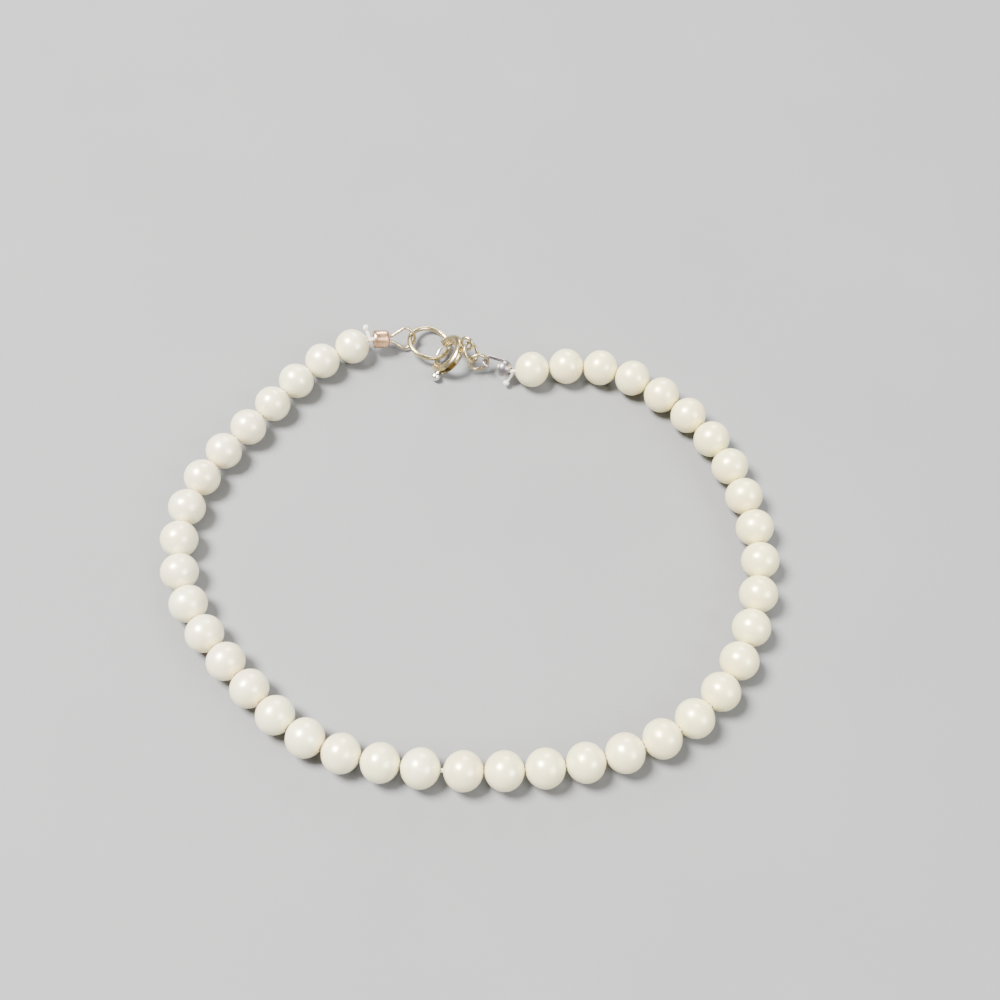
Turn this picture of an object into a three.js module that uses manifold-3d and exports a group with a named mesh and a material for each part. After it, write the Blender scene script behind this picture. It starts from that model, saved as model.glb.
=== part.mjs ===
// Pearl bracelet lying closed on a flat surface: one string of drilled pearls, a copper crimp and wire hook
// at one end, a tarnished bead tip at the other, and a spring ring clasp between them.
// Millimetres, +Z up. The loop lies flat, the clasp is at the back (+Y), the origin is under its middle.
import * as THREE from 'three';
import { mergeVertices } from 'three/addons/utils/BufferGeometryUtils.js';
import Module from 'manifold-3d';

const solids = await Module();
solids.setup();
const { Manifold, Mesh: SolidMesh } = solids;

// Pearls and thread
const PEARL_COUNT = 41;
const PEARL_DIAMETER = 4.1;
const PEARL_LENGTH = 3.86; // along the drill hole: the pearls are a little flattened
const PEARL_GAP = 0.14;
const SLACK_GAP = 0.35; // where the thread shows at the front of the loop
const SLACK_AFTER = 19; // pearls before that place
const DRILL_DIAMETER = 0.9;
const THREAD_DIAMETER = 0.45;
const TAIL_BALL = 0.75; // each tail's tip is melted to a ball
const PEARL_SIDES = 12;
const PEARL_BANDS = 7;

// Crimp and wire hook
const CRIMP_DIAMETER = 2.1;
const CRIMP_LENGTH = 1.85;
const CRIMP_BORE = 1.06;
const HOOK_WIRE = 0.34;
const HOOK_LENGTH = 3.1; // from the bend round the ring to the crimp's face
const HOOK_WIDTH = 2.9;
const HOOK_LEGS = 0.5; // between the two legs' centre lines inside the crimp

// End ring, spring ring and lever
const END_RING_DIAMETER = 5.3; // outside, as all ring diameters here
const END_RING_WIRE = 0.56;
const SPRING_RING_DIAMETER = 5;
const SPRING_TUBE = 1.16;
const SPRING_BORE = 0.64;
const GATE_WIRE = 0.34;
const GATE_FROM = 50; // degrees round the spring ring where the tube stops
const GATE_TO = 146;
const GATE_TIP = 42; // the gate wire's tip, inside the tube
const GATE_TAIL = 200;
const KNOB_ANGLE = 173;
const KNOB_DIAMETER = 1.05;
const KNOB_LENGTH = 0.8;
const KNOB_REACH = 1.53; // from the tube's centre line to the knob's end
const STEM_DIAMETER = 0.38;
const LEVER_TRAVEL = 64; // degrees
const SLOT_GAP = 0.1;

// Tab and jump rings
const TAB_ANGLE = -61;
const TAB_TWIST = 130;
const TAB_DIAMETER = 1.76;
const TAB_WIRE = 0.38;
const JUMP_RING_DIAMETER = 2.6;
const JUMP_RING_WIRE = 0.38;

// Bead tip and crimped knot
const STRIP_WIDTH = 0.6;
const STRIP_THICKNESS = 0.24;
const TIP_HOOK_RADIUS = 0.7; // to the strip's centre line
const TIP_LENGTH = 1.9; // from the hook's centre to the cup's
const CUP_DIAMETER = 2;
const CUP_WALL = 0.22;
const CUP_HOLE = 0.8;
const KNOT_DIAMETER = 1.2;

const LINK_GAP = 0.13; // between two linked wires
const WIRE_SIDES = 6;
const RING_SIDES = 26;
const TUBE_SIDES = 12;

// How each piece lies. Heading runs anticlockwise from +X seen from above, climb is the slope above the
// floor, lean turns the piece's plane about its own axis. All in degrees.
const SPRING_RING_CENTRE = [-2.4, 24.73, 1.8];
const SPRING_RING_LAY = { heading: 65, climb: 17, lean: 39 };
const END_RING_PLACE = 110; // round the spring ring
const END_RING_LAY = { heading: 121, climb: 2, lean: -16 };
const HOOK_PLACE = 42; // round the end ring
const HOOK_LAY = { heading: 190, climb: 11, lean: 58 };
const JUMP_RING_A_LAY = { heading: -65, climb: -43, lean: 38 };
const JUMP_RING_B_LAY = { heading: -9, climb: -55, lean: 106 };
const BEAD_TIP_PLACE = -59; // round the second jump ring
const BEAD_TIP_LAY = { heading: -32, climb: 4, lean: -8 };

// The string's way round from the left end to the right one, seen from above.
const LEFT_END = [-11.7, 26.7];
const RIGHT_END = [5.4, 22];
const ROUTE = [
  [-17, 24], [-22.5, 17.5], [-29.5, 8], [-31, 0], [-29, -7.5], [-22, -16.5], [-16, -22], [-8.5, -24.5],
  [3.5, -25.5], [15, -24], [22.5, -20.5], [27.5, -14.5], [31, -3], [30, 5], [27.5, 12], [22, 18.5], [15.5, 22.5],
];
const LEFT_TAIL_TIP = [-11.9, 27.7, 3.2];
const RIGHT_TAIL_TIP = [4.4, 21.3, 0.8];

const PEARL = new THREE.MeshStandardMaterial({ color: 0xf1e8d3, roughness: 0.28, metalness: 0 });
const THREAD = new THREE.MeshStandardMaterial({ color: 0xe9e2cf, roughness: 0.85, metalness: 0 });
const COPPER = new THREE.MeshStandardMaterial({ color: 0xc98f6b, roughness: 0.35, metalness: 1 });
const BRASS = new THREE.MeshStandardMaterial({ color: 0xd2bf8f, roughness: 0.32, metalness: 1 });
const STEEL = new THREE.MeshStandardMaterial({ color: 0xc9c8c2, roughness: 0.28, metalness: 1 });
const TARNISH = new THREE.MeshStandardMaterial({ color: 0x8a8390, roughness: 0.38, metalness: 1 });

const UP = new THREE.Vector3(0, 0, 1);
const bracelet = new THREE.Group();
bracelet.name = 'pearl_bracelet';

function add(name, geometry, material) {
  const mesh = new THREE.Mesh(geometry, material);
  mesh.name = name;
  bracelet.add(mesh);
}

// A closed geometry as a solid, and a solid as a geometry.
function solidOf(geometry) {
  const bare = geometry.clone();
  bare.deleteAttribute('uv');
  bare.deleteAttribute('normal');
  const merged = mergeVertices(bare, 1e-4);
  return new Manifold(new SolidMesh({
    numProp: 3,
    vertProperties: new Float32Array(merged.attributes.position.array),
    triVerts: new Uint32Array(merged.index.array),
  }));
}

function geometryOf(solid) {
  const mesh = solid.getMesh();
  const geometry = new THREE.BufferGeometry();
  geometry.setAttribute('position', new THREE.BufferAttribute(mesh.vertProperties, 3));
  geometry.setIndex(new THREE.BufferAttribute(mesh.triVerts, 1));
  geometry.computeVertexNormals();
  return geometry;
}

function joined(first, ...others) {
  return geometryOf(others.reduce((sum, next) => sum.add(solidOf(next)), solidOf(first)));
}

// A chain of straight pieces, for extruding along exactly these points.
class WirePath extends THREE.Curve {
  constructor(points) {
    super();
    this.points = points;
  }

  getPoint(t, target = new THREE.Vector3()) {
    const last = this.points.length - 1;
    const place = t * last;
    const index = Math.min(Math.floor(place), last - 1);
    return target.lerpVectors(this.points[index], this.points[index + 1], place - index);
  }

  getUtoTmapping(u) {
    return u;
  }
}

function along(points, shape) {
  const path = new WirePath(points);
  return new THREE.ExtrudeGeometry(shape, { steps: points.length - 1, extrudePath: path });
}

function round(diameter, sides) {
  const corners = [];
  for (let i = 0; i < sides; i += 1) corners.push(turned(diameter / 2, (360 * i) / sides));
  return new THREE.Shape(corners);
}

function turned(radius, degrees) {
  const angle = THREE.MathUtils.degToRad(degrees);
  return new THREE.Vector2(radius * Math.cos(angle), radius * Math.sin(angle));
}

// A solid of revolution round +Y from a closed profile of [radius, height].
function lathe(profile, sides, start = 0) {
  const points = [...profile, profile[0]].map(([radius, height]) => new THREE.Vector2(radius, height));
  return new THREE.LatheGeometry(points, sides, start);
}

// The frame of a piece at a point: x along its heading and climb, z square to its plane.
function frameAt(origin, { heading, climb, lean }) {
  const level = turned(Math.cos(THREE.MathUtils.degToRad(climb)), heading);
  const x = new THREE.Vector3(level.x, level.y, Math.sin(THREE.MathUtils.degToRad(climb)));
  const side = UP.clone().cross(x).normalize();
  const z = x.clone().cross(side).applyAxisAngle(x, -THREE.MathUtils.degToRad(lean));
  return new THREE.Matrix4().makeBasis(x, z.clone().cross(x), z).setPosition(origin);
}

// The frame of a ring that hangs with its wire's centre line on a point.
function hungRing(link, lay, radius) {
  const frame = frameAt(link, lay);
  return frame.setPosition(new THREE.Vector3(radius, 0, 0).applyMatrix4(frame));
}

function onRing(frame, radius, degrees) {
  const place = turned(radius, degrees);
  return new THREE.Vector3(place.x, place.y, 0).applyMatrix4(frame);
}

function inFrame(frame, points) {
  return points.map(([x, y, z = 0]) => new THREE.Vector3(x, y, z).applyMatrix4(frame));
}

function arc(radius, from, to, step) {
  const count = Math.ceil((to - from) / step);
  const points = [];
  for (let i = 0; i <= count; i += 1) {
    const place = turned(radius, from + ((to - from) * i) / count);
    points.push(new THREE.Vector3(place.x, place.y, 0));
  }
  return points;
}

function ring(diameter, wire, frame) {
  const geometry = new THREE.TorusGeometry((diameter - wire) / 2, wire / 2, WIRE_SIDES, RING_SIDES);
  return geometry.applyMatrix4(frame);
}

// Spring ring: a hollow tube that stops either side of the gate, with a slot for the lever's stem.
const springRadius = (SPRING_RING_DIAMETER - SPRING_TUBE) / 2;
const springFrame = frameAt(new THREE.Vector3(...SPRING_RING_CENTRE), SPRING_RING_LAY);
const tubeSection = round(SPRING_TUBE, TUBE_SIDES);
tubeSection.holes.push(round(SPRING_BORE, TUBE_SIDES));
const tube = along(arc(springRadius, GATE_TO, GATE_FROM + 360, 10), tubeSection);

const slotHalf = STEM_DIAMETER / 2 + SLOT_GAP;
const slotTurn = THREE.MathUtils.radToDeg(slotHalf / springRadius);
const slotSection = new THREE.Shape([
  new THREE.Vector2(-slotHalf, 0), new THREE.Vector2(slotHalf, 0),
  new THREE.Vector2(slotHalf, -SPRING_TUBE), new THREE.Vector2(-slotHalf, -SPRING_TUBE),
]);
const slotArc = arc(springRadius, KNOB_ANGLE - slotTurn, KNOB_ANGLE + LEVER_TRAVEL + slotTurn, 8);
const slot = along(slotArc, slotSection);

const tabRadius = (TAB_DIAMETER - TAB_WIRE) / 2;
const tab = new THREE.TorusGeometry(tabRadius, TAB_WIRE / 2, WIRE_SIDES, 16)
  .rotateX(-THREE.MathUtils.degToRad(TAB_TWIST))
  .translate(SPRING_RING_DIAMETER / 2 + tabRadius - TAB_WIRE / 4, 0, 0)
  .rotateZ(THREE.MathUtils.degToRad(TAB_ANGLE));
const springRing = geometryOf(solidOf(tube).subtract(solidOf(slot)).add(solidOf(tab).subtract(solidOf(
  along(arc(springRadius, TAB_ANGLE - 30, TAB_ANGLE + 30, 10), round(SPRING_BORE, TUBE_SIDES))))));
add('spring_ring', springRing.applyMatrix4(springFrame), BRASS);

// Lever: the gate wire, its stem through the slot and the knob, one piece.
const gate = along(arc(springRadius, GATE_TIP, GATE_TAIL, 8), round(GATE_WIRE, WIRE_SIDES));
const knobStart = KNOB_REACH - KNOB_LENGTH;
const knob = lathe([
  [0, 0], [STEM_DIAMETER / 2, 0], [STEM_DIAMETER / 2, knobStart], [KNOB_DIAMETER * 0.4, knobStart],
  [KNOB_DIAMETER / 2, knobStart + 0.2], [KNOB_DIAMETER / 2, KNOB_REACH - 0.35],
  [KNOB_DIAMETER * 0.36, KNOB_REACH - 0.08], [0, KNOB_REACH],
], TUBE_SIDES)
  .rotateZ(-Math.PI / 2)
  .translate(springRadius, 0, 0)
  .rotateZ(THREE.MathUtils.degToRad(KNOB_ANGLE));
add('clasp_lever', joined(gate, knob).applyMatrix4(springFrame), STEEL);

// End ring through the gate, then the wire hook and the crimp.
const endRingRadius = (END_RING_DIAMETER - END_RING_WIRE) / 2;
const endRingLink = onRing(
  springFrame, springRadius - (GATE_WIRE + END_RING_WIRE) / 2 - LINK_GAP, END_RING_PLACE);
const endRingFrame = hungRing(endRingLink, END_RING_LAY, endRingRadius);
add('end_ring', ring(END_RING_DIAMETER, END_RING_WIRE, endRingFrame), BRASS);

const hookLink = onRing(endRingFrame, endRingRadius - (END_RING_WIRE + HOOK_WIRE) / 2 - LINK_GAP, HOOK_PLACE);
const hookFrame = frameAt(hookLink, HOOK_LAY);
const hookHalf = [
  [0.03, 0.34], [0.12, 0.62], [0.25, 0.88], [0.36, 1], [0.44, 0.97],
].map(([far, wide]) => [far * HOOK_LENGTH, (wide * (HOOK_WIDTH - HOOK_WIRE)) / 2]);
hookHalf.push([HOOK_LENGTH - 0.3, HOOK_LEGS / 2 + 0.05], [HOOK_LENGTH + 0.2, HOOK_LEGS / 2]);
hookHalf.push([HOOK_LENGTH + CRIMP_LENGTH * 0.35, HOOK_LEGS / 2]);
const hookPoints = [...hookHalf.map(([x, y]) => [x, -y]).reverse(), [0, 0], ...hookHalf];
add('hook_left', along(inFrame(hookFrame, hookPoints), round(HOOK_WIRE, WIRE_SIDES)), BRASS);

const crimpRadius = CRIMP_DIAMETER / 2;
const crimp = lathe([
  [CRIMP_BORE / 2, 0], [crimpRadius * 0.72, 0], [crimpRadius * 0.92, CRIMP_LENGTH * 0.1],
  [crimpRadius, CRIMP_LENGTH * 0.3], [crimpRadius, CRIMP_LENGTH * 0.8],
  [crimpRadius * 0.93, CRIMP_LENGTH], [CRIMP_BORE / 2, CRIMP_LENGTH],
], 16)
  .rotateZ(-Math.PI / 2)
  .translate(HOOK_LENGTH, 0, 0)
  .applyMatrix4(hookFrame);
add('crimp_left', crimp, COPPER);

// Two jump rings from the tab to the bead tip.
const jumpRadius = (JUMP_RING_DIAMETER - JUMP_RING_WIRE) / 2;
const tabEnd = SPRING_RING_DIAMETER / 2 + 2 * tabRadius - TAB_WIRE / 4;
const tabLink = onRing(springFrame, tabEnd - (TAB_WIRE + JUMP_RING_WIRE) / 2 - LINK_GAP, TAB_ANGLE);
const jumpFrameA = hungRing(tabLink, JUMP_RING_A_LAY, jumpRadius);
add('jump_ring_a', ring(JUMP_RING_DIAMETER, JUMP_RING_WIRE, jumpFrameA), BRASS);

const jumpLink = onRing(jumpFrameA, jumpRadius - JUMP_RING_WIRE - LINK_GAP, 0);
const jumpFrameB = hungRing(jumpLink, JUMP_RING_B_LAY, jumpRadius);
add('jump_ring_b', ring(JUMP_RING_DIAMETER, JUMP_RING_WIRE, jumpFrameB), BRASS);

// Bead tip: a cup over the knot and a flat strip bent round the second jump ring, one piece.
const tipLink = frameAt(onRing(jumpFrameB, jumpRadius, BEAD_TIP_PLACE), BEAD_TIP_LAY);
const tipCentre = TIP_HOOK_RADIUS - (STRIP_THICKNESS + JUMP_RING_WIRE) / 2 - LINK_GAP;
const tipFrame = tipLink.clone().setPosition(new THREE.Vector3(tipCentre, 0, 0).applyMatrix4(tipLink));
const cupRadius = CUP_DIAMETER / 2;
const cupProfile = [];
const holeTurn = THREE.MathUtils.radToDeg(Math.asin(CUP_HOLE / CUP_DIAMETER));
for (let i = 0; i <= 5; i += 1) {
  const place = turned(cupRadius, ((90 - holeTurn) * i) / 5);
  cupProfile.push([place.x, place.y]);
}
const innerRadius = cupRadius - CUP_WALL;
for (let i = 5; i >= 0; i -= 1) {
  const place = turned(innerRadius, ((90 - holeTurn) * i) / 5);
  cupProfile.push(i === 5 ? [CUP_HOLE / 2, place.y] : [place.x, place.y]);
}
const cup = lathe([...cupProfile, [innerRadius, -0.2], [cupRadius, -0.2]], TUBE_SIDES)
  .rotateZ(-Math.PI / 2)
  .translate(TIP_LENGTH, 0, 0);
const stripHeight = cupRadius - CUP_WALL / 2 - 0.02;
const strip = along([
  new THREE.Vector3(TIP_LENGTH + 0.3, stripHeight, 0),
  new THREE.Vector3(TIP_LENGTH * 0.75, stripHeight, 0),
  ...arc(TIP_HOOK_RADIUS, 90, 285, 20),
], new THREE.Shape([
  new THREE.Vector2(-STRIP_WIDTH / 2, -STRIP_THICKNESS / 2), new THREE.Vector2(STRIP_WIDTH / 2, -STRIP_THICKNESS / 2),
  new THREE.Vector2(STRIP_WIDTH / 2, STRIP_THICKNESS / 2), new THREE.Vector2(-STRIP_WIDTH / 2, STRIP_THICKNESS / 2),
]));
add('bead_tip_right', joined(cup, strip).applyMatrix4(tipFrame), TARNISH);

const knotBore = (THREAD_DIAMETER + 0.25) / 2;
const knotTurn = THREE.MathUtils.radToDeg(Math.asin((2 * knotBore) / KNOT_DIAMETER));
const knotProfile = [];
for (let i = 0; i <= 6; i += 1) {
  const place = turned(KNOT_DIAMETER / 2, -90 + knotTurn + ((180 - 2 * knotTurn) * i) / 6);
  knotProfile.push([place.x, place.y]);
}
const knot = lathe(knotProfile, TUBE_SIDES)
  .rotateZ(-Math.PI / 2)
  .translate(TIP_LENGTH, 0, 0)
  .applyMatrix4(tipFrame);
add('knot_right', knot, STEEL);

// The string's line: the route grows or shrinks about its ends' middle until the pearls just fill it.
const pearlHeight = PEARL_DIAMETER / 2;
const stringLength = PEARL_COUNT * (PEARL_LENGTH + PEARL_GAP) + SLACK_GAP - PEARL_GAP;
const middle = new THREE.Vector2((LEFT_END[0] + RIGHT_END[0]) / 2, (LEFT_END[1] + RIGHT_END[1]) / 2);

function stringLine(scale) {
  const inner = ROUTE.map(([x, y]) => [middle.x + (x - middle.x) * scale, middle.y + (y - middle.y) * scale]);
  const points = [LEFT_END, ...inner, RIGHT_END].map(([x, y]) => new THREE.Vector3(x, y, pearlHeight));
  const curve = new THREE.CatmullRomCurve3(points, false, 'centripetal');
  curve.arcLengthDivisions = 600;
  return curve;
}

let low = 0.7;
let high = 1.4;
for (let i = 0; i < 30; i += 1) {
  const scale = (low + high) / 2;
  if (stringLine(scale).getLength() < stringLength) low = scale;
  else high = scale;
}
const line = stringLine(low);

// Pearls: every one sits on the straight piece of thread between its two ends.
const drillTurn = THREE.MathUtils.radToDeg(Math.asin(DRILL_DIAMETER / PEARL_DIAMETER));
const bandTurn = (180 - 2 * drillTurn) / PEARL_BANDS;
const facetSpread = Math.cos(Math.PI / PEARL_SIDES) * Math.cos(THREE.MathUtils.degToRad(bandTurn / 2));
const pearlProfile = [];
for (let i = 0; i <= PEARL_BANDS; i += 1) {
  const place = turned(1, -90 + drillTurn + bandTurn * i);
  const inner = i === 0 || i === PEARL_BANDS;
  const radius = inner ? DRILL_DIAMETER / 2 : (place.x * PEARL_DIAMETER) / 2 / facetSpread;
  pearlProfile.push([radius, (place.y * PEARL_LENGTH) / 2]);
}

const threadPoints = [];
let reached = 0;
for (let i = 0; i < PEARL_COUNT; i += 1) {
  const space = i === SLACK_AFTER ? SLACK_GAP : PEARL_GAP;
  const from = line.getPointAt(Math.min(reached / stringLength, 1));
  reached += PEARL_LENGTH + space;
  const to = line.getPointAt(Math.min(reached / stringLength, 1));
  threadPoints.push(from);
  const forward = to.clone().sub(from).normalize();
  const centre = to.clone().addScaledVector(forward, -(PEARL_LENGTH + PEARL_GAP) / 2);
  const frame = new THREE.Matrix4()
    .makeBasis(forward.clone().cross(UP), forward, UP)
    .setPosition(centre);
  const pearl = lathe(pearlProfile, PEARL_SIDES, Math.PI / PEARL_SIDES).applyMatrix4(frame);
  add(`pearl_${String(i + 1).padStart(2, '0')}`, pearl, PEARL);
}
threadPoints.push(line.getPointAt(1));

// Thread: from inside the crimp through every pearl and the cup to the knot, with a cut tail at each end.
const [crimpInside, crimpOutside] = inFrame(hookFrame, [
  [HOOK_LENGTH + CRIMP_LENGTH * 0.5, 0], [HOOK_LENGTH + CRIMP_LENGTH + 0.1, 0],
]);
const [cupOutside, knotEnd] = inFrame(tipFrame, [
  [TIP_LENGTH + cupRadius + 0.05, 0], [TIP_LENGTH - KNOT_DIAMETER / 2 - 0.12, 0],
]);
const strand = [crimpInside, crimpOutside, ...threadPoints, cupOutside, knotEnd];
const section = round(THREAD_DIAMETER, WIRE_SIDES);
const leftTail = [crimpOutside.clone().lerp(threadPoints[0], 0.5), new THREE.Vector3(...LEFT_TAIL_TIP)];
const rightTail = [cupOutside.clone().lerp(threadPoints[PEARL_COUNT], 0.6), new THREE.Vector3(...RIGHT_TAIL_TIP)];
const balls = [leftTail, rightTail].map(([, tip]) => (
  new THREE.IcosahedronGeometry(TAIL_BALL / 2, 1).translate(tip.x, tip.y, tip.z)));
add('thread', joined(along(strand, section), along(leftTail, section), along(rightTail, section), ...balls), THREAD);

// The origin goes to the middle of the bottom.
const box = new THREE.Box3().setFromObject(bracelet);
const shift = box.getCenter(new THREE.Vector3()).setZ(box.min.z).negate();
for (const mesh of bracelet.children) mesh.geometry.translate(shift.x, shift.y, shift.z);

export default bracelet;
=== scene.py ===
import math

import bmesh
import bpy
import numpy as np
from mathutils import Matrix, Vector, noise


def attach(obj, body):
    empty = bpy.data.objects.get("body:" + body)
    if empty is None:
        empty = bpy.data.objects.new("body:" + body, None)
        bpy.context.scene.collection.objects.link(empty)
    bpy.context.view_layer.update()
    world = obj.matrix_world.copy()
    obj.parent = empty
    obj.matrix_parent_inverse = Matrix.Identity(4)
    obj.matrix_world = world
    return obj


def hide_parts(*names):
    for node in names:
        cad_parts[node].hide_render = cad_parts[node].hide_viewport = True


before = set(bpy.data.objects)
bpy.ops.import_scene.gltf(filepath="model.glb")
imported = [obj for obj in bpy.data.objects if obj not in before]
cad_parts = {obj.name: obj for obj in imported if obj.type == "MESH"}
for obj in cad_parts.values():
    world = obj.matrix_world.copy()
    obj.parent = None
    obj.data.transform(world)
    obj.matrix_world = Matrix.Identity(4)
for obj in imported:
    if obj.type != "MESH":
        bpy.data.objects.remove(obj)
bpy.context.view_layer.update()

# Shapes and the camera are worked out in millimetres and made in metres.

PEARL_COUNT = 41
PEARL_DIAMETER = 4.1
PEARL_LENGTH = 3.86
PITCH = 4.0
PEARL_SIZE_SPREAD, PEARL_LENGTH_SPREAD, PEARL_SKEW = 0.012, 0.008, 0.012  # shares, drawn for each pearl
DRILL_RADIUS, RIM_RADIUS = 0.33, 0.47  # of a pearl's hole, and of the softened rim round it
THREAD_DIAMETER, THREAD_STRANDS, THREAD_LAY = 0.45, 3, 1.5  # the lay is the length of one turn
TAIL_BALL = 0.75

CRIMP_DIAMETER, CRIMP_LENGTH, CRIMP_BORE = 2.1, 1.85, 1.06
HOOK_WIRE, HOOK_LENGTH, HOOK_WIDTH, HOOK_LEGS = 0.34, 3.1, 2.9, 0.5
END_RING_DIAMETER, END_RING_WIRE, END_RING_SEAM = 5.3, 0.56, -70
SPRING_RING_DIAMETER, SPRING_TUBE, SPRING_BORE = 5.0, 1.16, 0.64
GATE_WIRE, GATE_FROM, GATE_TO, GATE_TIP, GATE_TAIL = 0.34, 50, 146, 42, 200
KNOB_ANGLE, KNOB_DIAMETER, KNOB_LENGTH, KNOB_REACH, STEM_DIAMETER = 173, 1.05, 0.8, 1.53, 0.38
LEVER_TRAVEL, SLOT_GAP = 64, 0.1
TAB_ANGLE, TAB_TWIST, TAB_DIAMETER, TAB_WIRE = -61, 130, 1.76, 0.38
JUMP_RING_DIAMETER, JUMP_RING_WIRE = 2.6, 0.38
JUMP_RING_A_CUT, JUMP_RING_B_CUT, CUT_GAP = 100, -95, 2.2  # degrees
STRIP_WIDTH, STRIP_THICKNESS, TIP_HOOK_RADIUS, TIP_LENGTH = 0.6, 0.24, 0.7, 1.9
CUP_DIAMETER, CUP_WALL, CUP_HOLE, KNOT_DIAMETER = 2.0, 0.22, 0.8, 1.2
LINK_GAP = 0.13
NEAR_POINTS, FLAT_EDGE, STRAY_AREA = 0.002, 0.001, 0.005  # what a boolean's clean-up takes away
FLOOR_REACH = 900.0

SPRING_RING_CENTRE = (-2.4, 24.73, 1.8)
SPRING_RING_LAY = (65, 17, 39)  # heading, climb and lean in degrees
END_RING_PLACE, END_RING_LAY = 110, (121, 2, -16)
HOOK_PLACE, HOOK_LAY = 42, (190, 11, 58)
JUMP_RING_A_LAY = (-65, -43, 38)
JUMP_RING_B_LAY = (-9, -55, 106)
BEAD_TIP_PLACE, BEAD_TIP_LAY = -59, (-32, 4, -8)
LEFT_TAIL_TIP = (-11.9, 27.7, 3.2)
RIGHT_TAIL_TIP = (4.4, 21.3, 0.8)


# Frames

def unit(v):
    v = np.asarray(v, float)
    return v / np.linalg.norm(v)


class Place:
    """A frame in millimetres: x along a piece, z square to its plane."""

    def __init__(self, origin, x, y, z):
        self.origin, self.axes = np.asarray(origin, float), np.array([x, y, z], float)

    def at(self, points):
        return self.origin + np.asarray(points, float) @ self.axes

    def local(self, point):
        return (point - self.origin) @ self.axes.T

    def around(self, degrees, radii, heights):
        t = math.radians(degrees)
        return self.at(np.c_[radii * math.cos(t), radii * math.sin(t), heights])

    def moved(self, offset):
        return Place(self.at([offset])[0], *self.axes)


def place_at(origin, lay):
    heading, climb, lean = (math.radians(v) for v in lay)
    x = np.array([math.cos(climb) * math.cos(heading), math.cos(climb) * math.sin(heading), math.sin(climb)])
    side = unit(np.cross([0, 0, 1], x))
    z = np.cross(x, side) * math.cos(lean) + side * math.sin(lean)
    return Place(origin, x, np.cross(z, x), z)


def polar(radius, degrees):
    a = math.radians(degrees)
    return np.array([radius * math.cos(a), radius * math.sin(a), 0.0])


def on_ring(place, radius, degrees):
    return place.at([polar(radius, degrees)])[0]


def hung_ring(link, lay, radius):
    return place_at(link, lay).moved((radius, 0, 0))


def node_points(name):
    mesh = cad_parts[name].data
    co = np.zeros(len(mesh.vertices) * 3, np.float32)
    mesh.vertices.foreach_get("co", co)
    return np.unique(np.round(co.reshape(-1, 3).astype(float) * 1000, 4), axis=0)


# The chain of the clasp, from the same sizes as the solids, and the shift to the solids' own origin.
SPRING_RADIUS = (SPRING_RING_DIAMETER - SPRING_TUBE) / 2
END_RADIUS = (END_RING_DIAMETER - END_RING_WIRE) / 2
JUMP_RADIUS = (JUMP_RING_DIAMETER - JUMP_RING_WIRE) / 2
TAB_RADIUS = (TAB_DIAMETER - TAB_WIRE) / 2


def clasp_places(origin):
    spring = place_at(np.array(SPRING_RING_CENTRE) + origin, SPRING_RING_LAY)
    link = on_ring(spring, SPRING_RADIUS - (GATE_WIRE + END_RING_WIRE) / 2 - LINK_GAP, END_RING_PLACE)
    end = hung_ring(link, END_RING_LAY, END_RADIUS)
    link = on_ring(end, END_RADIUS - (END_RING_WIRE + HOOK_WIRE) / 2 - LINK_GAP, HOOK_PLACE)
    hook = place_at(link, HOOK_LAY)
    tab_end = SPRING_RING_DIAMETER / 2 + 2 * TAB_RADIUS - TAB_WIRE / 4
    link = on_ring(spring, tab_end - (TAB_WIRE + JUMP_RING_WIRE) / 2 - LINK_GAP, TAB_ANGLE)
    jump_a = hung_ring(link, JUMP_RING_A_LAY, JUMP_RADIUS)
    link = on_ring(jump_a, JUMP_RADIUS - JUMP_RING_WIRE - LINK_GAP, 0)
    jump_b = hung_ring(link, JUMP_RING_B_LAY, JUMP_RADIUS)
    tip = place_at(on_ring(jump_b, JUMP_RADIUS, BEAD_TIP_PLACE), BEAD_TIP_LAY)
    tip = tip.moved((TIP_HOOK_RADIUS - (STRIP_THICKNESS + JUMP_RING_WIRE) / 2 - LINK_GAP, 0, 0))
    return {"spring": spring, "end": end, "hook": hook, "jump_a": jump_a, "jump_b": jump_b, "tip": tip}


SHIFT = node_points("end_ring").mean(0) - clasp_places(np.zeros(3))["end"].origin
AT = clasp_places(SHIFT)


# Meshes in millimetres: (points, faces)

def grid(rings, closed_way):
    """Rings of points joined one to the next, the last to the first if closed_way, else with caps."""
    rings = [np.asarray(r, float) for r in rings]
    n, m = len(rings), len(rings[0])
    faces = []
    for i in range(n if closed_way else n - 1):
        a, b = i * m, ((i + 1) % n) * m
        for j in range(m):
            k = (j + 1) % m
            faces.append((a + j, a + k, b + k, b + j))
    if not closed_way:
        faces.append(tuple(reversed(range(m))))
        faces.append(tuple((n - 1) * m + j for j in range(m)))
    return np.vstack(rings), faces


def sections(path, start=None):
    """Tangent and two side directions at every point, turned along the path without twist."""
    path = np.asarray(path, float)
    steps = np.diff(path, axis=0)
    steps /= np.linalg.norm(steps, axis=1)[:, None]
    tangents = np.vstack([steps[:1], steps[:-1] + steps[1:], steps[-1:]])
    tangents /= np.linalg.norm(tangents, axis=1)[:, None]
    side = start if start is not None else np.cross(tangents[0], [0.13, 0.21, 0.97])
    out = []
    for t in tangents:
        side = unit(side - t * (side @ t))
        out.append((t, side, np.cross(t, side)))
    return out


def circle(sides):
    a = np.linspace(0, 2 * math.pi, sides, endpoint=False)
    return np.c_[np.cos(a), np.sin(a)]


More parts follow.
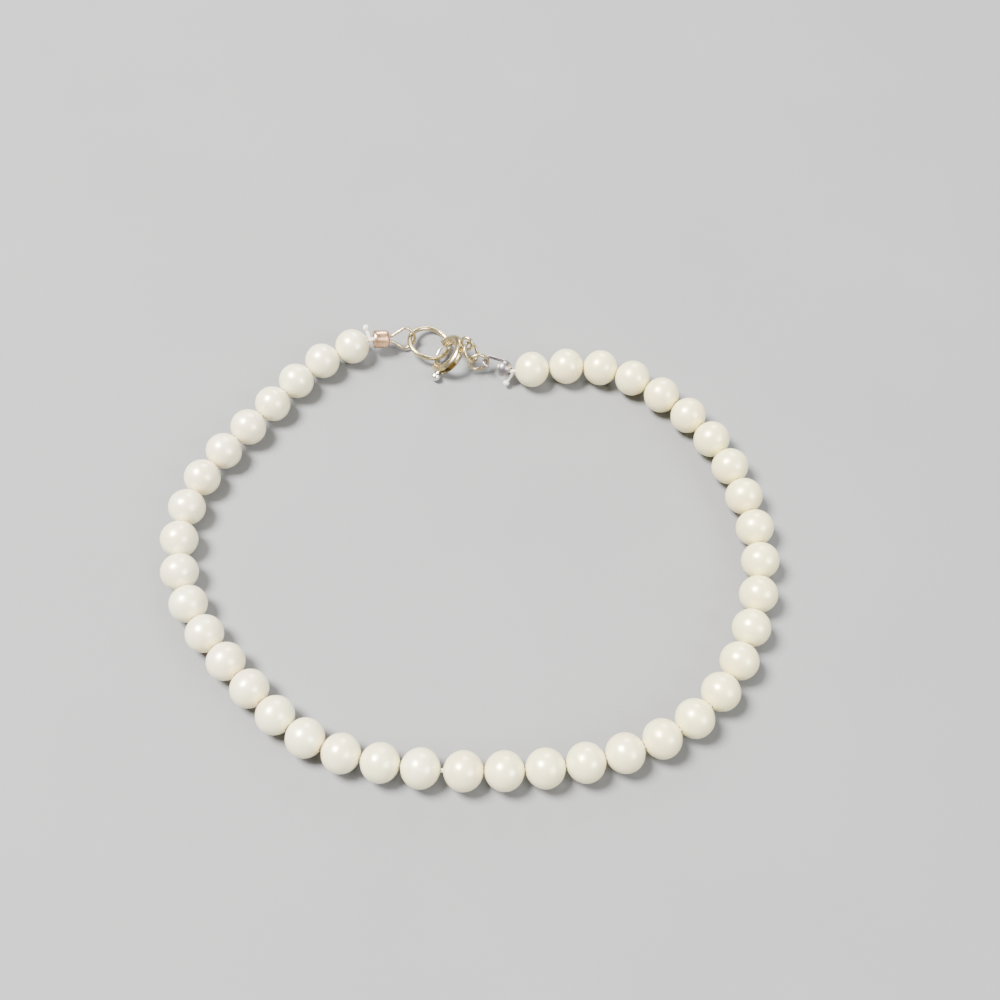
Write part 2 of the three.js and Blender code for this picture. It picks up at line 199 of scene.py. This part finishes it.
def tube(path, radius, sides, round_ends=False):
    """A round bar along the path, with flat or rounded ends."""
    path = np.asarray(path, float)
    radii = np.full(len(path), radius)
    if round_ends:
        reach = radii[0] * 0.8
        head = [path[0] - unit(path[1] - path[0]) * reach * v for v in (1.0, 0.85, 0.5)]
        tail = [path[-1] + unit(path[-1] - path[-2]) * reach * v for v in (0.5, 0.85, 1.0)]
        path = np.vstack([head, path, tail])
        shrink = np.array([0.25, 0.62, 0.92])
        radii = np.r_[radii[0] * shrink, radii, radii[-1] * shrink[::-1]]
    c = circle(sides)
    rings = []
    for p, r, (_, u, v) in zip(path, radii, sections(path)):
        rings.append(p + r * (c[:, :1] * u + c[:, 1:] * v))
    return grid(rings, False)


def ring_of(radius, wire, place, sides, steps, cut=None, seam=None):
    """A round wire ring, whole or cut through at an angle, with a low soldered seam if one is given."""
    gap, start = (0, 0) if cut is None else (CUT_GAP, cut + CUT_GAP / 2)
    angles = np.linspace(start, start + 360 - gap, steps, endpoint=cut is not None)
    c = circle(sides) * wire / 2
    rings = []
    for a in angles:
        swell = 1.0
        if seam is not None:
            off = (a - seam + 180) % 360 - 180
            swell += 0.07 * math.exp(-(off / 5) ** 2) - 0.03 * math.exp(-(off / 1.4) ** 2)
        rings.append(place.around(a, radius + c[:, 0] * swell, c[:, 1] * swell))
    return grid(rings, cut is None)


def lathe(profile, place, sides, closed_way=True):
    """A solid of revolution round the frame's x, from a profile of (radius, along), closed or capped."""
    c = circle(sides)
    rings = []
    for r, x in profile:
        rings.append(place.at(np.c_[np.full(sides, x), r * c[:, 0], r * c[:, 1]]))
    return grid(rings, closed_way)


def arc(radius, start, end, step):
    n = max(2, int(math.ceil(abs(end - start) / step)) + 1)
    return np.array([polar(radius, a) for a in np.linspace(start, end, n)])


# Objects

def mesh_object(name, shape, scale=0.001, crease=35):
    points, faces = shape
    mesh = bpy.data.meshes.new(name)
    mesh.from_pydata([tuple(p * scale) for p in points], [], faces)
    mesh.validate()
    obj = bpy.data.objects.new(name, mesh)
    bpy.context.scene.collection.objects.link(obj)
    finish_mesh(mesh, crease)
    return obj


def finish_mesh(mesh, crease):
    b = bmesh.new()
    b.from_mesh(mesh)
    bmesh.ops.recalc_face_normals(b, faces=b.faces)
    b.to_mesh(mesh)
    b.free()
    mesh.shade_smooth()
    mesh.set_sharp_from_angle(angle=math.radians(crease))


def without_slivers(mesh):
    """Closes up faces with no width, and drops tiny ones with an edge that no other face shares."""
    b = bmesh.new()
    b.from_mesh(mesh)
    bmesh.ops.remove_doubles(b, verts=b.verts, dist=NEAR_POINTS)
    bmesh.ops.dissolve_degenerate(b, edges=b.edges, dist=FLAT_EDGE)
    bmesh.ops.triangulate(b, faces=b.faces)
    bmesh.ops.dissolve_degenerate(b, edges=b.edges, dist=FLAT_EDGE)
    for _ in range(4):
        loose = [f for f in b.faces if any(len(e.link_faces) == 1 for e in f.edges)]
        bmesh.ops.delete(b, geom=[f for f in loose if f.calc_area() < STRAY_AREA], context="FACES")
    b.to_mesh(mesh)
    b.free()


def carved(name, base, cuts=(), adds=(), crease=35):
    """The base shape less the cuts and with the adds, all solids in millimetres."""
    obj = mesh_object(name, base, 1.0)
    for operation, shapes in (("DIFFERENCE", cuts), ("UNION", adds)):
        for shape in shapes:
            other = mesh_object(name + "_tool", shape, 1.0)
            modifier = obj.modifiers.new("tool", "BOOLEAN")
            modifier.operation, modifier.solver, modifier.object = operation, "EXACT", other
            bpy.context.view_layer.update()
            made = bpy.data.meshes.new_from_object(obj.evaluated_get(bpy.context.evaluated_depsgraph_get()))
            obj.modifiers.clear()
            obj.data = made
            bpy.data.objects.remove(other)
    without_slivers(obj.data)
    obj.data.transform(Matrix.Scale(0.001, 4))
    finish_mesh(obj.data, crease)
    return obj


def dress(obj, node, material, body="bracelet"):
    obj.data.materials.clear()
    obj.data.materials.append(material)
    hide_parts(node)
    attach(obj, body)


# Materials

def new_material(name):
    material = bpy.data.materials.new(name)
    material.use_nodes = True
    return material, material.node_tree, material.node_tree.nodes["Principled BSDF"]


def set_inputs(node, values):
    for name, value in values.items():
        node.inputs[name].default_value = value


def add_noise(tree, scale, detail, roughness=0.55, stretch=None):
    coords = tree.nodes.new("ShaderNodeTexCoord")
    texture = tree.nodes.new("ShaderNodeTexNoise")
    set_inputs(texture, {"Scale": scale, "Detail": detail, "Roughness": roughness})
    if stretch:
        mapping = tree.nodes.new("ShaderNodeMapping")
        set_inputs(mapping, {"Scale": stretch})
        tree.links.new(coords.outputs["Object"], mapping.inputs["Vector"])
        tree.links.new(mapping.outputs["Vector"], texture.inputs["Vector"])
    else:
        tree.links.new(coords.outputs["Object"], texture.inputs["Vector"])
    return texture.outputs["Fac"]


def ramp(tree, source, stops):
    node = tree.nodes.new("ShaderNodeValToRGB")
    elements = node.color_ramp.elements
    while len(elements) < len(stops):
        elements.new(0.5)
    for element, (position, colour) in zip(elements, stops):
        element.position = position
        element.color = (*colour, 1)
    tree.links.new(source, node.inputs["Fac"])
    return node.outputs["Color"]


def mix(tree, factor, a, b, blend="MIX"):
    node = tree.nodes.new("ShaderNodeMix")
    node.data_type = "RGBA"
    node.blend_type = blend
    for socket, value in (("Factor", factor), ("A", a), ("B", b)):
        target = [s for s in node.inputs if s.name == socket and s.enabled][0]
        if isinstance(value, (int, float)):
            target.default_value = value
        elif isinstance(value, tuple):
            target.default_value = (*value, 1)
        else:
            tree.links.new(value, target)
    return [s for s in node.outputs if s.enabled][0]


def spread(tree, source, low, high, start, end):
    node = tree.nodes.new("ShaderNodeMapRange")
    set_inputs(node, {"From Min": start, "From Max": end, "To Min": low, "To Max": high})
    tree.links.new(source, node.inputs["Value"])
    return node.outputs["Result"]


def bump(tree, shader, height, strength, distance):
    node = tree.nodes.new("ShaderNodeBump")
    set_inputs(node, {"Strength": strength, "Distance": distance})
    tree.links.new(height, node.inputs["Height"])
    tree.links.new(node.outputs["Normal"], shader.inputs["Normal"])


def nacre():
    """Creamy white with faint cloudy tones, warmer towards the right of the loop, and a soft deep shine."""
    material, tree, shader = new_material("nacre")
    clouds = ramp(tree, add_noise(tree, 330, 3.0), [(0.32, (0.90, 0.80, 0.52)), (0.68, (0.95, 0.895, 0.66))])
    rose = ramp(tree, add_noise(tree, 210, 1.5), [(0.38, (1.0, 0.97, 0.94)), (0.64, (0.98, 1.0, 0.965))])
    coords = tree.nodes.new("ShaderNodeTexCoord")
    split = tree.nodes.new("ShaderNodeSeparateXYZ")
    tree.links.new(coords.outputs["Object"], split.inputs["Vector"])
    warm = spread(tree, split.outputs["X"], 0.0, 0.55, -0.025, 0.03)
    tone = mix(tree, warm, clouds, (0.91, 0.82, 0.38))
    tree.links.new(mix(tree, 1.0, tone, rose, "MULTIPLY"), shader.inputs["Base Color"])
    tree.links.new(spread(tree, add_noise(tree, 700, 4.0), 0.26, 0.42, 0.3, 0.7), shader.inputs["Roughness"])
    bump(tree, shader, add_noise(tree, 1500, 4.0, 0.6), 0.10, 0.00008)
    set_inputs(shader, {
        "Metallic": 0.2,
        "Subsurface Weight": 0.22, "Subsurface Radius": (1.0, 0.72, 0.5), "Subsurface Scale": 0.0009,
        "Coat Weight": 0.5, "Coat Roughness": 0.15, "Coat IOR": 1.55,
        "Sheen Weight": 0.15, "Sheen Roughness": 0.35, "Sheen Tint": (1.0, 0.91, 0.86, 1),
    })
    return material


def spun():
    """Pale fibres, dull and a little fuzzy."""
    material, tree, shader = new_material("thread")
    fibres = add_noise(tree, 5200, 5.0, 0.7)
    tone = ramp(tree, fibres, [(0.3, (0.70, 0.65, 0.54)), (0.7, (0.86, 0.83, 0.75))])
    tree.links.new(tone, shader.inputs["Base Color"])
    bump(tree, shader, fibres, 0.5, 0.00004)
    set_inputs(shader, {
        "Roughness": 0.82, "Sheen Weight": 0.35, "Subsurface Weight": 0.1, "Subsurface Scale": 0.0003})
    return material


def metal(name, clean, dull, dark, rough, worn):
    """Plated metal: the clean colour, dull clouds, dark specks of tarnish and fine scratches."""
    material, tree, shader = new_material(name)
    clouds = add_noise(tree, 900, 4.0, 0.6)
    specks = ramp(tree, add_noise(tree, 3400, 3.0, 0.65), [(0.60, (0, 0, 0)), (0.74, (1, 1, 1))])
    body = ramp(tree, clouds, [(0.36, dull), (0.64, clean)])
    amount = tree.nodes.new("ShaderNodeMath")
    amount.operation = "MULTIPLY"
    amount.inputs[1].default_value = worn
    tree.links.new(specks, amount.inputs[0])
    tree.links.new(mix(tree, amount.outputs["Value"], body, dark), shader.inputs["Base Color"])
    set_inputs(shader, {"Metallic": 1.0})
    tree.links.new(spread(tree, clouds, rough + 0.16, rough - 0.05, 0.35, 0.65), shader.inputs["Roughness"])
    scratches = add_noise(tree, 1400, 2.0, 0.5, (1.0, 7.0, 2.5))
    bump(tree, shader, scratches, 0.12, 0.00003)
    return material


NACRE = nacre()
SPUN = spun()
BRASS = metal("pale_brass", (0.75, 0.61, 0.34), (0.40, 0.33, 0.19), (0.10, 0.08, 0.045), 0.22, 0.8)
BRIGHT = metal("bright_metal", (0.90, 0.88, 0.80), (0.72, 0.70, 0.63), (0.30, 0.28, 0.24), 0.20, 0.4)
COPPER = metal("copper", (0.88, 0.56, 0.33), (0.60, 0.35, 0.20), (0.22, 0.11, 0.06), 0.28, 0.6)
TARNISH = metal("dark_silver", (0.50, 0.44, 0.45), (0.25, 0.22, 0.23), (0.07, 0.06, 0.06), 0.28, 0.8)


# Camera: 60 degrees above the surface, turned a little on its own axis, as the photograph was taken.
FOCUS = np.array([3.4985, 4.8476, 2.07]) + SHIFT
DISTANCE, ELEVATION, ROLL = 141.5, math.radians(60), math.radians(-0.8)
LENS, SENSOR_WIDTH = 46.8, 36
forward = np.array([0, math.cos(ELEVATION), -math.sin(ELEVATION)])
level = np.array([1.0, 0, 0])
above = np.cross(level, forward)
right = math.cos(ROLL) * level + math.sin(ROLL) * above
up = -math.sin(ROLL) * level + math.cos(ROLL) * above
camera_data = bpy.data.cameras.new("camera")
camera_data.sensor_width, camera_data.lens = SENSOR_WIDTH, LENS
camera_data.clip_start, camera_data.clip_end = 0.005, 5
camera = bpy.data.objects.new("camera", camera_data)
bpy.context.scene.collection.objects.link(camera)
basis = Matrix((right, up, -forward)).transposed()
camera.matrix_world = Matrix.Translation(Vector((FOCUS - DISTANCE * forward) * 0.001)) @ basis.to_4x4()
bpy.context.scene.camera = camera


# Pearls: round, a little flattened at the drill hole, none quite like the next. A solid pearl is round
# about its drill axis, so the axis is the way along the floor whose spread differs most from the height's.
centres, axes = [], []
for i in range(PEARL_COUNT):
    points = node_points(f"pearl_{i + 1:02d}")
    middle = (points.min(0) + points.max(0)) / 2
    spreads, ways = np.linalg.eigh(np.cov((points[:, :2] - middle[:2]).T))
    across = np.var(points[:, 2])
    way = ways[:, np.argmax(abs(spreads - across))]
    centres.append(middle)
    axes.append(np.array([way[0], way[1], 0.0]))
for i in range(PEARL_COUNT):
    ahead = centres[min(i + 1, PEARL_COUNT - 1)] - centres[max(i - 1, 0)]
    if axes[i] @ ahead < 0:
        axes[i] = -axes[i]

dice = np.random.default_rng(41)


def pearl_shape(centre, axis, seed):
    size = 1 - PEARL_SIZE_SPREAD * dice.random()
    length = PEARL_LENGTH * (1 - PEARL_LENGTH_SPREAD * dice.random())
    radius = PEARL_DIAMETER / 2 * size
    skew = PEARL_SKEW * (dice.random(3) - 0.5)
    hole, rim = DRILL_RADIUS, RIM_RADIUS
    lead = math.asin(rim / radius)
    turns = np.linspace(-math.pi / 2 + lead, math.pi / 2 - lead, 27)
    outer = [(radius * math.cos(t), length / 2 * math.sin(t) / math.sin(turns[-1])) for t in turns]
    end = outer[-1][1]
    mouth = [(rim - 0.05, end + 0.012), (hole + 0.05, end - 0.02), (hole, end - 0.10), (hole, end - 0.30)]
    profile = [(r, -x) for r, x in reversed(mouth)] + outer + mouth
    side = np.cross([0, 0, 1], axis)
    place = Place(centre, axis, side, np.array([0, 0, 1.0]))
    points, faces = lathe(profile, place, 44)
    for k, p in enumerate(points):
        local = place.local(p)
        if math.hypot(local[1], local[2]) < rim + 0.02:
            continue
        way = unit(p - centre)
        lumps = noise.noise(Vector(way * 1.6) + Vector((seed * 3.7, seed * 1.3, 0)))
        bands = noise.noise(Vector((local[0] * 2.2, seed * 5.1, 0)))
        drop = 0.012 * (lumps - 1) + 0.004 * (bands - 1) + skew @ way * 0.6
        points[k] = p + way * min(drop, 0)
    return points, faces


for i, (centre, axis) in enumerate(zip(centres, axes)):
    name = f"pearl_{i + 1:02d}"
    dress(mesh_object(name + "_round", pearl_shape(centre, axis, i + 1), crease=50), name, NACRE)


# Thread: three strands twisted together, through every pearl, with a cut tail at each end.
half = PITCH / 2
joints = [centres[0] - axes[0] * half]
for i in range(PEARL_COUNT - 1):
    joints.append((centres[i] + axes[i] * half + centres[i + 1] - axes[i + 1] * half) / 2)
joints.append(centres[-1] + axes[-1] * half)
crimp_inside, crimp_outside = AT["hook"].at([
    (HOOK_LENGTH + CRIMP_LENGTH * 0.5, 0, 0), (HOOK_LENGTH + CRIMP_LENGTH + 0.1, 0, 0)])
cup_outside, knot_end = AT["tip"].at([
    (TIP_LENGTH + CUP_DIAMETER / 2 + 0.05, 0, 0), (TIP_LENGTH - KNOT_DIAMETER / 2 - 0.12, 0, 0)])


def resampled(points, step):
    points = np.asarray(points, float)
    lengths = np.r_[0, np.cumsum(np.linalg.norm(np.diff(points, axis=0), axis=1))]
    marks = np.linspace(0, lengths[-1], max(2, int(lengths[-1] / step) + 1))
    return np.c_[[np.interp(marks, lengths, points[:, k]) for k in range(3)]].T


def eased(points, times=3):
    """The same line with its corners rounded a little."""
    out = np.array(points, float)
    for _ in range(times):
        out[1:-1] = out[1:-1] * 0.5 + (out[:-2] + out[2:]) * 0.25
    return out


def twisted(path, flare=False):
    """Three strands laid round each other, spreading a little towards the end if flare is asked for."""
    path = eased(resampled(path, 0.09))
    a = np.linspace(0, 2 * math.pi, 15, endpoint=False)
    rings, reached = [], 0.0
    last = path[0]
    for k, (p, (_, u, v)) in enumerate(zip(path, sections(path))):
        reached += np.linalg.norm(p - last)
        last = p
        phase = 2 * math.pi * reached / THREAD_LAY
        radius = THREAD_DIAMETER / 2 * (0.86 + 0.14 * np.abs(np.cos(THREAD_STRANDS / 2 * (a - phase))))
        if flare:
            radius = radius * (1 + 0.10 * max(0, (k / len(path) - 0.6) / 0.4))
        rings.append(p + np.c_[radius * np.cos(a)] * u + np.c_[radius * np.sin(a)] * v)
    return grid(rings, False)


strand = twisted([crimp_inside, crimp_outside, *joints, cup_outside, knot_end])
tail_tips = [np.array(tip) + SHIFT for tip in (LEFT_TAIL_TIP, RIGHT_TAIL_TIP)]
tail_starts = [(crimp_outside + joints[0]) / 2, cup_outside * 0.4 + joints[-1] * 0.6]
tails = [twisted([start, tip], flare=True) for start, tip in zip(tail_starts, tail_tips)]


def melted_ball(centre, seed):
    """A closed lumpy ball where the thread's end was melted."""
    place = Place(centre, *np.eye(3))
    turns = np.linspace(-math.pi / 2 + 0.02, math.pi / 2 - 0.02, 19)
    profile = [(math.cos(t) * TAIL_BALL / 2, math.sin(t) * TAIL_BALL / 2) for t in turns]
    points, faces = lathe(profile, place, 26, False)
    for k, p in enumerate(points):
        way = unit(p - centre)
        lump = noise.noise(Vector(way * 1.7) + Vector((seed * 2.9, 0, 0)))
        points[k] = p + way * 0.05 * (lump - 0.3)
    return points, faces


balls = [melted_ball(tip, k + 1) for k, tip in enumerate(tail_tips)]
thread = carved("thread_twisted", strand, adds=[*tails, *balls], crease=60)
dress(thread, "thread", SPUN)


# End ring and jump rings
end_ring = ring_of(END_RADIUS, END_RING_WIRE, AT["end"], 24, 144, seam=END_RING_SEAM)
dress(mesh_object("end_ring_wire", end_ring), "end_ring", BRASS)
for letter, cut in (("a", JUMP_RING_A_CUT), ("b", JUMP_RING_B_CUT)):
    jump_ring = ring_of(JUMP_RADIUS, JUMP_RING_WIRE, AT["jump_" + letter], 20, 96, cut=cut)
    dress(mesh_object(f"jump_ring_{letter}_wire", jump_ring), "jump_ring_" + letter, BRASS)


# Spring ring: hollow tube with softened ends, the lever's slot and the soldered tab.
def hollow_tube():
    """The ring's tube from one side of the gate to the other, with its bore."""
    c = circle(28)
    outer, inner = SPRING_TUBE / 2, SPRING_BORE / 2
    ends = [(0, 0.90), (0.5, 0.965), (1.6, 1.0)]  # degrees from the end, share of the full width
    angles = [GATE_TO + d for d, _ in ends] + list(np.arange(GATE_TO + 4, GATE_FROM + 356.5, 2.5))
    angles += [GATE_FROM + 360 - d for d, _ in reversed(ends)]
    widths = [w for _, w in ends] + [1.0] * (len(angles) - 6) + [w for _, w in reversed(ends)]
    rings = []
    for a, w in zip(angles, widths):
        rings.append(AT["spring"].around(a, SPRING_RADIUS + c[:, 0] * outer * w, c[:, 1] * outer * w))
    for a in reversed(angles):
        rings.append(AT["spring"].around(a, SPRING_RADIUS + c[:, 0] * inner, c[:, 1] * inner))
    return grid(rings, True)


def slot_block():
    """What the lever's stem sweeps through the tube's outer wall, with the gap round it."""
    half_width = STEM_DIAMETER / 2 + SLOT_GAP
    extra = math.degrees(half_width / SPRING_RADIUS)
    corners = np.array([
        (0, -half_width), (SPRING_TUBE, -half_width), (SPRING_TUBE, half_width), (0, half_width)])
    rings = []
    for a in np.arange(KNOB_ANGLE - extra, KNOB_ANGLE + LEVER_TRAVEL + extra + 0.1, 4):
        rings.append(AT["spring"].around(a, SPRING_RADIUS + corners[:, 0], corners[:, 1]))
    return grid(rings, False)


def tab_shapes():
    """The small loop soldered on the ring, turned on its own axis, and the drop of solder at its foot."""
    turn, twist = math.radians(TAB_ANGLE), -math.radians(TAB_TWIST)
    out = np.array([math.cos(turn), math.sin(turn), 0.0])
    flat = np.array([-math.sin(turn), math.cos(turn), 0.0])
    normal = np.array([0, 0, 1.0])
    y = flat * math.cos(twist) + normal * math.sin(twist)
    z = normal * math.cos(twist) - flat * math.sin(twist)
    tab_axes = np.array([out, y, z]) @ AT["spring"].axes
    centre = AT["spring"].at([out * (SPRING_RING_DIAMETER / 2 + TAB_RADIUS - TAB_WIRE / 4)])[0]
    loop = ring_of(TAB_RADIUS, TAB_WIRE, Place(centre, *tab_axes), 16, 56)
    foot = AT["spring"].at([out * (SPRING_RING_DIAMETER / 2 - 0.06)])[0]
    solder_profile = [
        (0.001, -0.16), (0.20, -0.13), (0.30, -0.05), (0.31, 0.02),
        (0.24, 0.12), (0.12, 0.19), (0.001, 0.21)]
    return [loop, lathe(solder_profile, Place(foot, *tab_axes), 24)]


spring = carved("spring_ring_tube", hollow_tube(), cuts=[slot_block()], adds=tab_shapes())
dress(spring, "spring_ring", BRASS)


# Lever: gate wire, stem and knob
def knob_shape():
    """The stem from the gate wire's middle line outwards, and the knob on it with its domed end."""
    out = polar(1, KNOB_ANGLE)
    side = np.array([-out[1], out[0], 0.0])
    knob_axes = np.array([out, side, [0, 0, 1.0]]) @ AT["spring"].axes
    start = KNOB_REACH - KNOB_LENGTH
    r, stem, dome = KNOB_DIAMETER / 2, STEM_DIAMETER / 2, KNOB_LENGTH / 2
    profile = [
        (0.001, 0), (stem, 0), (stem, start - 0.06), (stem + 0.05, start), (r * 0.78, start + 0.01),
        (r * 0.93, start + 0.07), (r * 0.985, start + 0.13), (r, start + 0.2)]
    for t in np.linspace(0, math.pi / 2, 12):
        profile.append((max(0.001, r * math.cos(t)), KNOB_REACH - dome + dome * math.sin(t)))
    return lathe(profile, Place(AT["spring"].at([out * SPRING_RADIUS])[0], *knob_axes), 40)


gate_line = AT["spring"].at(arc(SPRING_RADIUS, GATE_TIP, GATE_TAIL, 2))
gate = tube(gate_line, GATE_WIRE / 2, 18, round_ends=True)
lever = carved("clasp_lever_wire", gate, adds=[knob_shape()])
dress(lever, "clasp_lever", BRIGHT, "lever")


# Wire hook and crimp
def hook_shape():
    """One wire out of the crimp, round the end ring and back, bent as a rounded diamond."""
    half_width, leg = (HOOK_WIDTH - HOOK_WIRE) / 2, HOOK_LEGS / 2
    shares = ((0.03, 0.34), (0.12, 0.62), (0.25, 0.88), (0.36, 1.0), (0.44, 0.97))  # of length, of width
    one_side = [(along * HOOK_LENGTH, across * half_width, 0) for along, across in shares]
    one_side += [(HOOK_LENGTH - 0.3, leg + 0.05, 0), (HOOK_LENGTH + 0.2, leg, 0)]
    one_side += [(HOOK_LENGTH + CRIMP_LENGTH * 0.35, leg, 0)]
    line = [(x, -y, 0) for x, y, _ in reversed(one_side)] + [(0, 0, 0)] + one_side
    return tube(eased(resampled(AT["hook"].at(line), 0.08), 2), HOOK_WIRE / 2, 16)


def crimp_shape():
    """A short barrel with rounded edges, pinched a little on two sides."""
    r, length, bore = CRIMP_DIAMETER / 2, CRIMP_LENGTH, CRIMP_BORE / 2
    place = AT["hook"].moved((HOOK_LENGTH, 0, 0))
    points, faces = lathe([
        (bore, 0.10), (bore + 0.06, 0.02), (r * 0.66, 0), (r * 0.76, 0.03), (r * 0.87, 0.12),
        (r * 0.955, 0.27), (r, 0.5), (r, 0.8), (r, 1.1), (r, length - 0.4), (r * 0.985, length - 0.22),
        (r * 0.95, length - 0.08), (r * 0.9, length - 0.01), (bore + 0.12, length),
        (bore + 0.03, length - 0.04), (bore, length - 0.14),
    ], place, 72)
    for k, p in enumerate(points):
        local = place.local(p)
        if math.hypot(local[1], local[2]) > r * 0.9 and 0.3 < local[0] < length - 0.2:
            turn = math.atan2(local[2], local[1])
            along = math.exp(-((local[0] - length * 0.55) / 0.35) ** 2)
            dent = 0.05 * max(0, math.cos(2 * (turn - 0.6))) ** 4 * along
            local[1:] *= 1 - dent
            points[k] = place.at([local])[0]
    return points, faces


dress(mesh_object("hook_left_wire", hook_shape()), "hook_left", BRASS)
dress(mesh_object("crimp_left_barrel", crimp_shape()), "crimp_left", COPPER)


# Bead tip and crimped ball
TIP_CUP = AT["tip"].moved((TIP_LENGTH, 0, 0))


def cup_shape():
    """Half a hollow ball with a hole at its back and a rounded edge."""
    outer, inner, hole = CUP_DIAMETER / 2, CUP_DIAMETER / 2 - CUP_WALL, CUP_HOLE / 2
    lead = math.asin(CUP_HOLE / CUP_DIAMETER)
    turns = np.linspace(0, math.pi / 2 - lead, 14)
    profile = [(outer * math.cos(t), outer * math.sin(t)) for t in turns]
    profile += [(hole + 0.02, inner + 0.10), (hole + 0.03, inner * math.sin(turns[-1]) + 0.02)]
    profile += [(inner * math.cos(t), inner * math.sin(t)) for t in turns[::-1][1:]]
    profile += [
        (inner, -0.12), (inner + 0.03, -0.18), (outer - CUP_WALL / 2, -0.2), (outer - 0.03, -0.18),
        (outer, -0.12)]
    return lathe(profile, TIP_CUP, 56)


def flat_strip():
    """The cup's flat strip, bent into an open hook that narrows at its end."""
    height = CUP_DIAMETER / 2 - CUP_WALL / 2 - 0.02
    far = [(TIP_LENGTH + 0.3, height, 0), (TIP_LENGTH * 0.75, height, 0)]
    path = AT["tip"].at(np.vstack([far, arc(TIP_HOOK_RADIUS, 90, 285, 6)]))
    path = eased(resampled(path, 0.06), 3)
    w, t, s = STRIP_WIDTH / 2, STRIP_THICKNESS / 2, 0.05
    corners = [
        (w - s, -t), (w, -t + s), (w, t - s), (w - s, t),
        (-w + s, t), (-w, t - s), (-w, -t + s), (-w + s, -t)]
    normal = AT["tip"].axes[2]
    rings = []
    for k, (p, (tangent, _, _)) in enumerate(zip(path, sections(path, normal))):
        across = np.cross(normal, tangent)
        narrow = 1 - 0.25 * max(0, (k / (len(path) - 1) - 0.8) / 0.2)
        rings.append([p + normal * x * narrow + across * y for x, y in corners])
    return grid(rings, False)


def knot_shape():
    """The ball crimped on the thread, with a shallow groove round its middle."""
    radius, bore = KNOT_DIAMETER / 2, THREAD_DIAMETER / 2 + 0.11
    lead = math.asin(bore / radius)
    turns = np.linspace(-math.pi / 2 + lead, math.pi / 2 - lead, 21)
    points, faces = lathe([(radius * math.cos(t), radius * math.sin(t)) for t in turns], TIP_CUP, 44)
    for k, p in enumerate(points):
        local = TIP_CUP.local(p)
        squeeze = 0.06 * math.exp(-(local[0] / 0.14) ** 2)
        if math.hypot(local[1], local[2]) > bore + 0.05:
            local[1:] *= 1 - squeeze
            points[k] = TIP_CUP.at([local])[0]
    return points, faces


bead_tip = carved("bead_tip_cup", cup_shape(), adds=[flat_strip()])
dress(bead_tip, "bead_tip_right", TARNISH)
dress(mesh_object("knot_ball", knot_shape()), "knot_right", BRIGHT)


# Floor and light
def plain_grey():
    material, tree, shader = new_material("floor")
    tone = ramp(tree, add_noise(tree, 40, 2.0), [(0.3, (0.185, 0.187, 0.191)), (0.7, (0.195, 0.197, 0.201))])
    tree.links.new(tone, shader.inputs["Base Color"])
    set_inputs(shader, {"Roughness": 0.75})
    return material


corners = FLOOR_REACH * np.array([(-1, -1, 0), (1, -1, 0), (1, 1, 0), (-1, 1, 0)])
floor = mesh_object("floor", (corners, [(0, 1, 2, 3)]))
floor.data.materials.append(plain_grey())


# Soft round lights aimed at the origin: name, place, size in metres, watts, colour.
LIGHTS = (
    ("key", (-0.36, 0.09, 0.72), 0.33, 35.0, (1.0, 0.985, 0.95)),
    ("fill", (0.60, -0.36, 0.54), 0.48, 9.9, (0.98, 0.99, 1.0)),
    ("back", (0.15, 0.66, 0.45), 0.36, 4.5, (1.0, 1.0, 1.0)),
)
for name, place, size, power, colour in LIGHTS:
    data = bpy.data.lights.new(name, "AREA")
    data.shape, data.size, data.energy, data.color = "DISK", size, power, colour
    obj = bpy.data.objects.new(name, data)
    obj.location = place
    obj.rotation_euler = (-Vector(place)).to_track_quat("-Z", "Y").to_euler()
    bpy.context.scene.collection.objects.link(obj)
world = bpy.data.worlds.new("world")
world.use_nodes = True
set_inputs(world.node_tree.nodes["Background"], {"Color": (0.93, 0.95, 1.0, 1), "Strength": 0.42})
bpy.context.scene.world = world
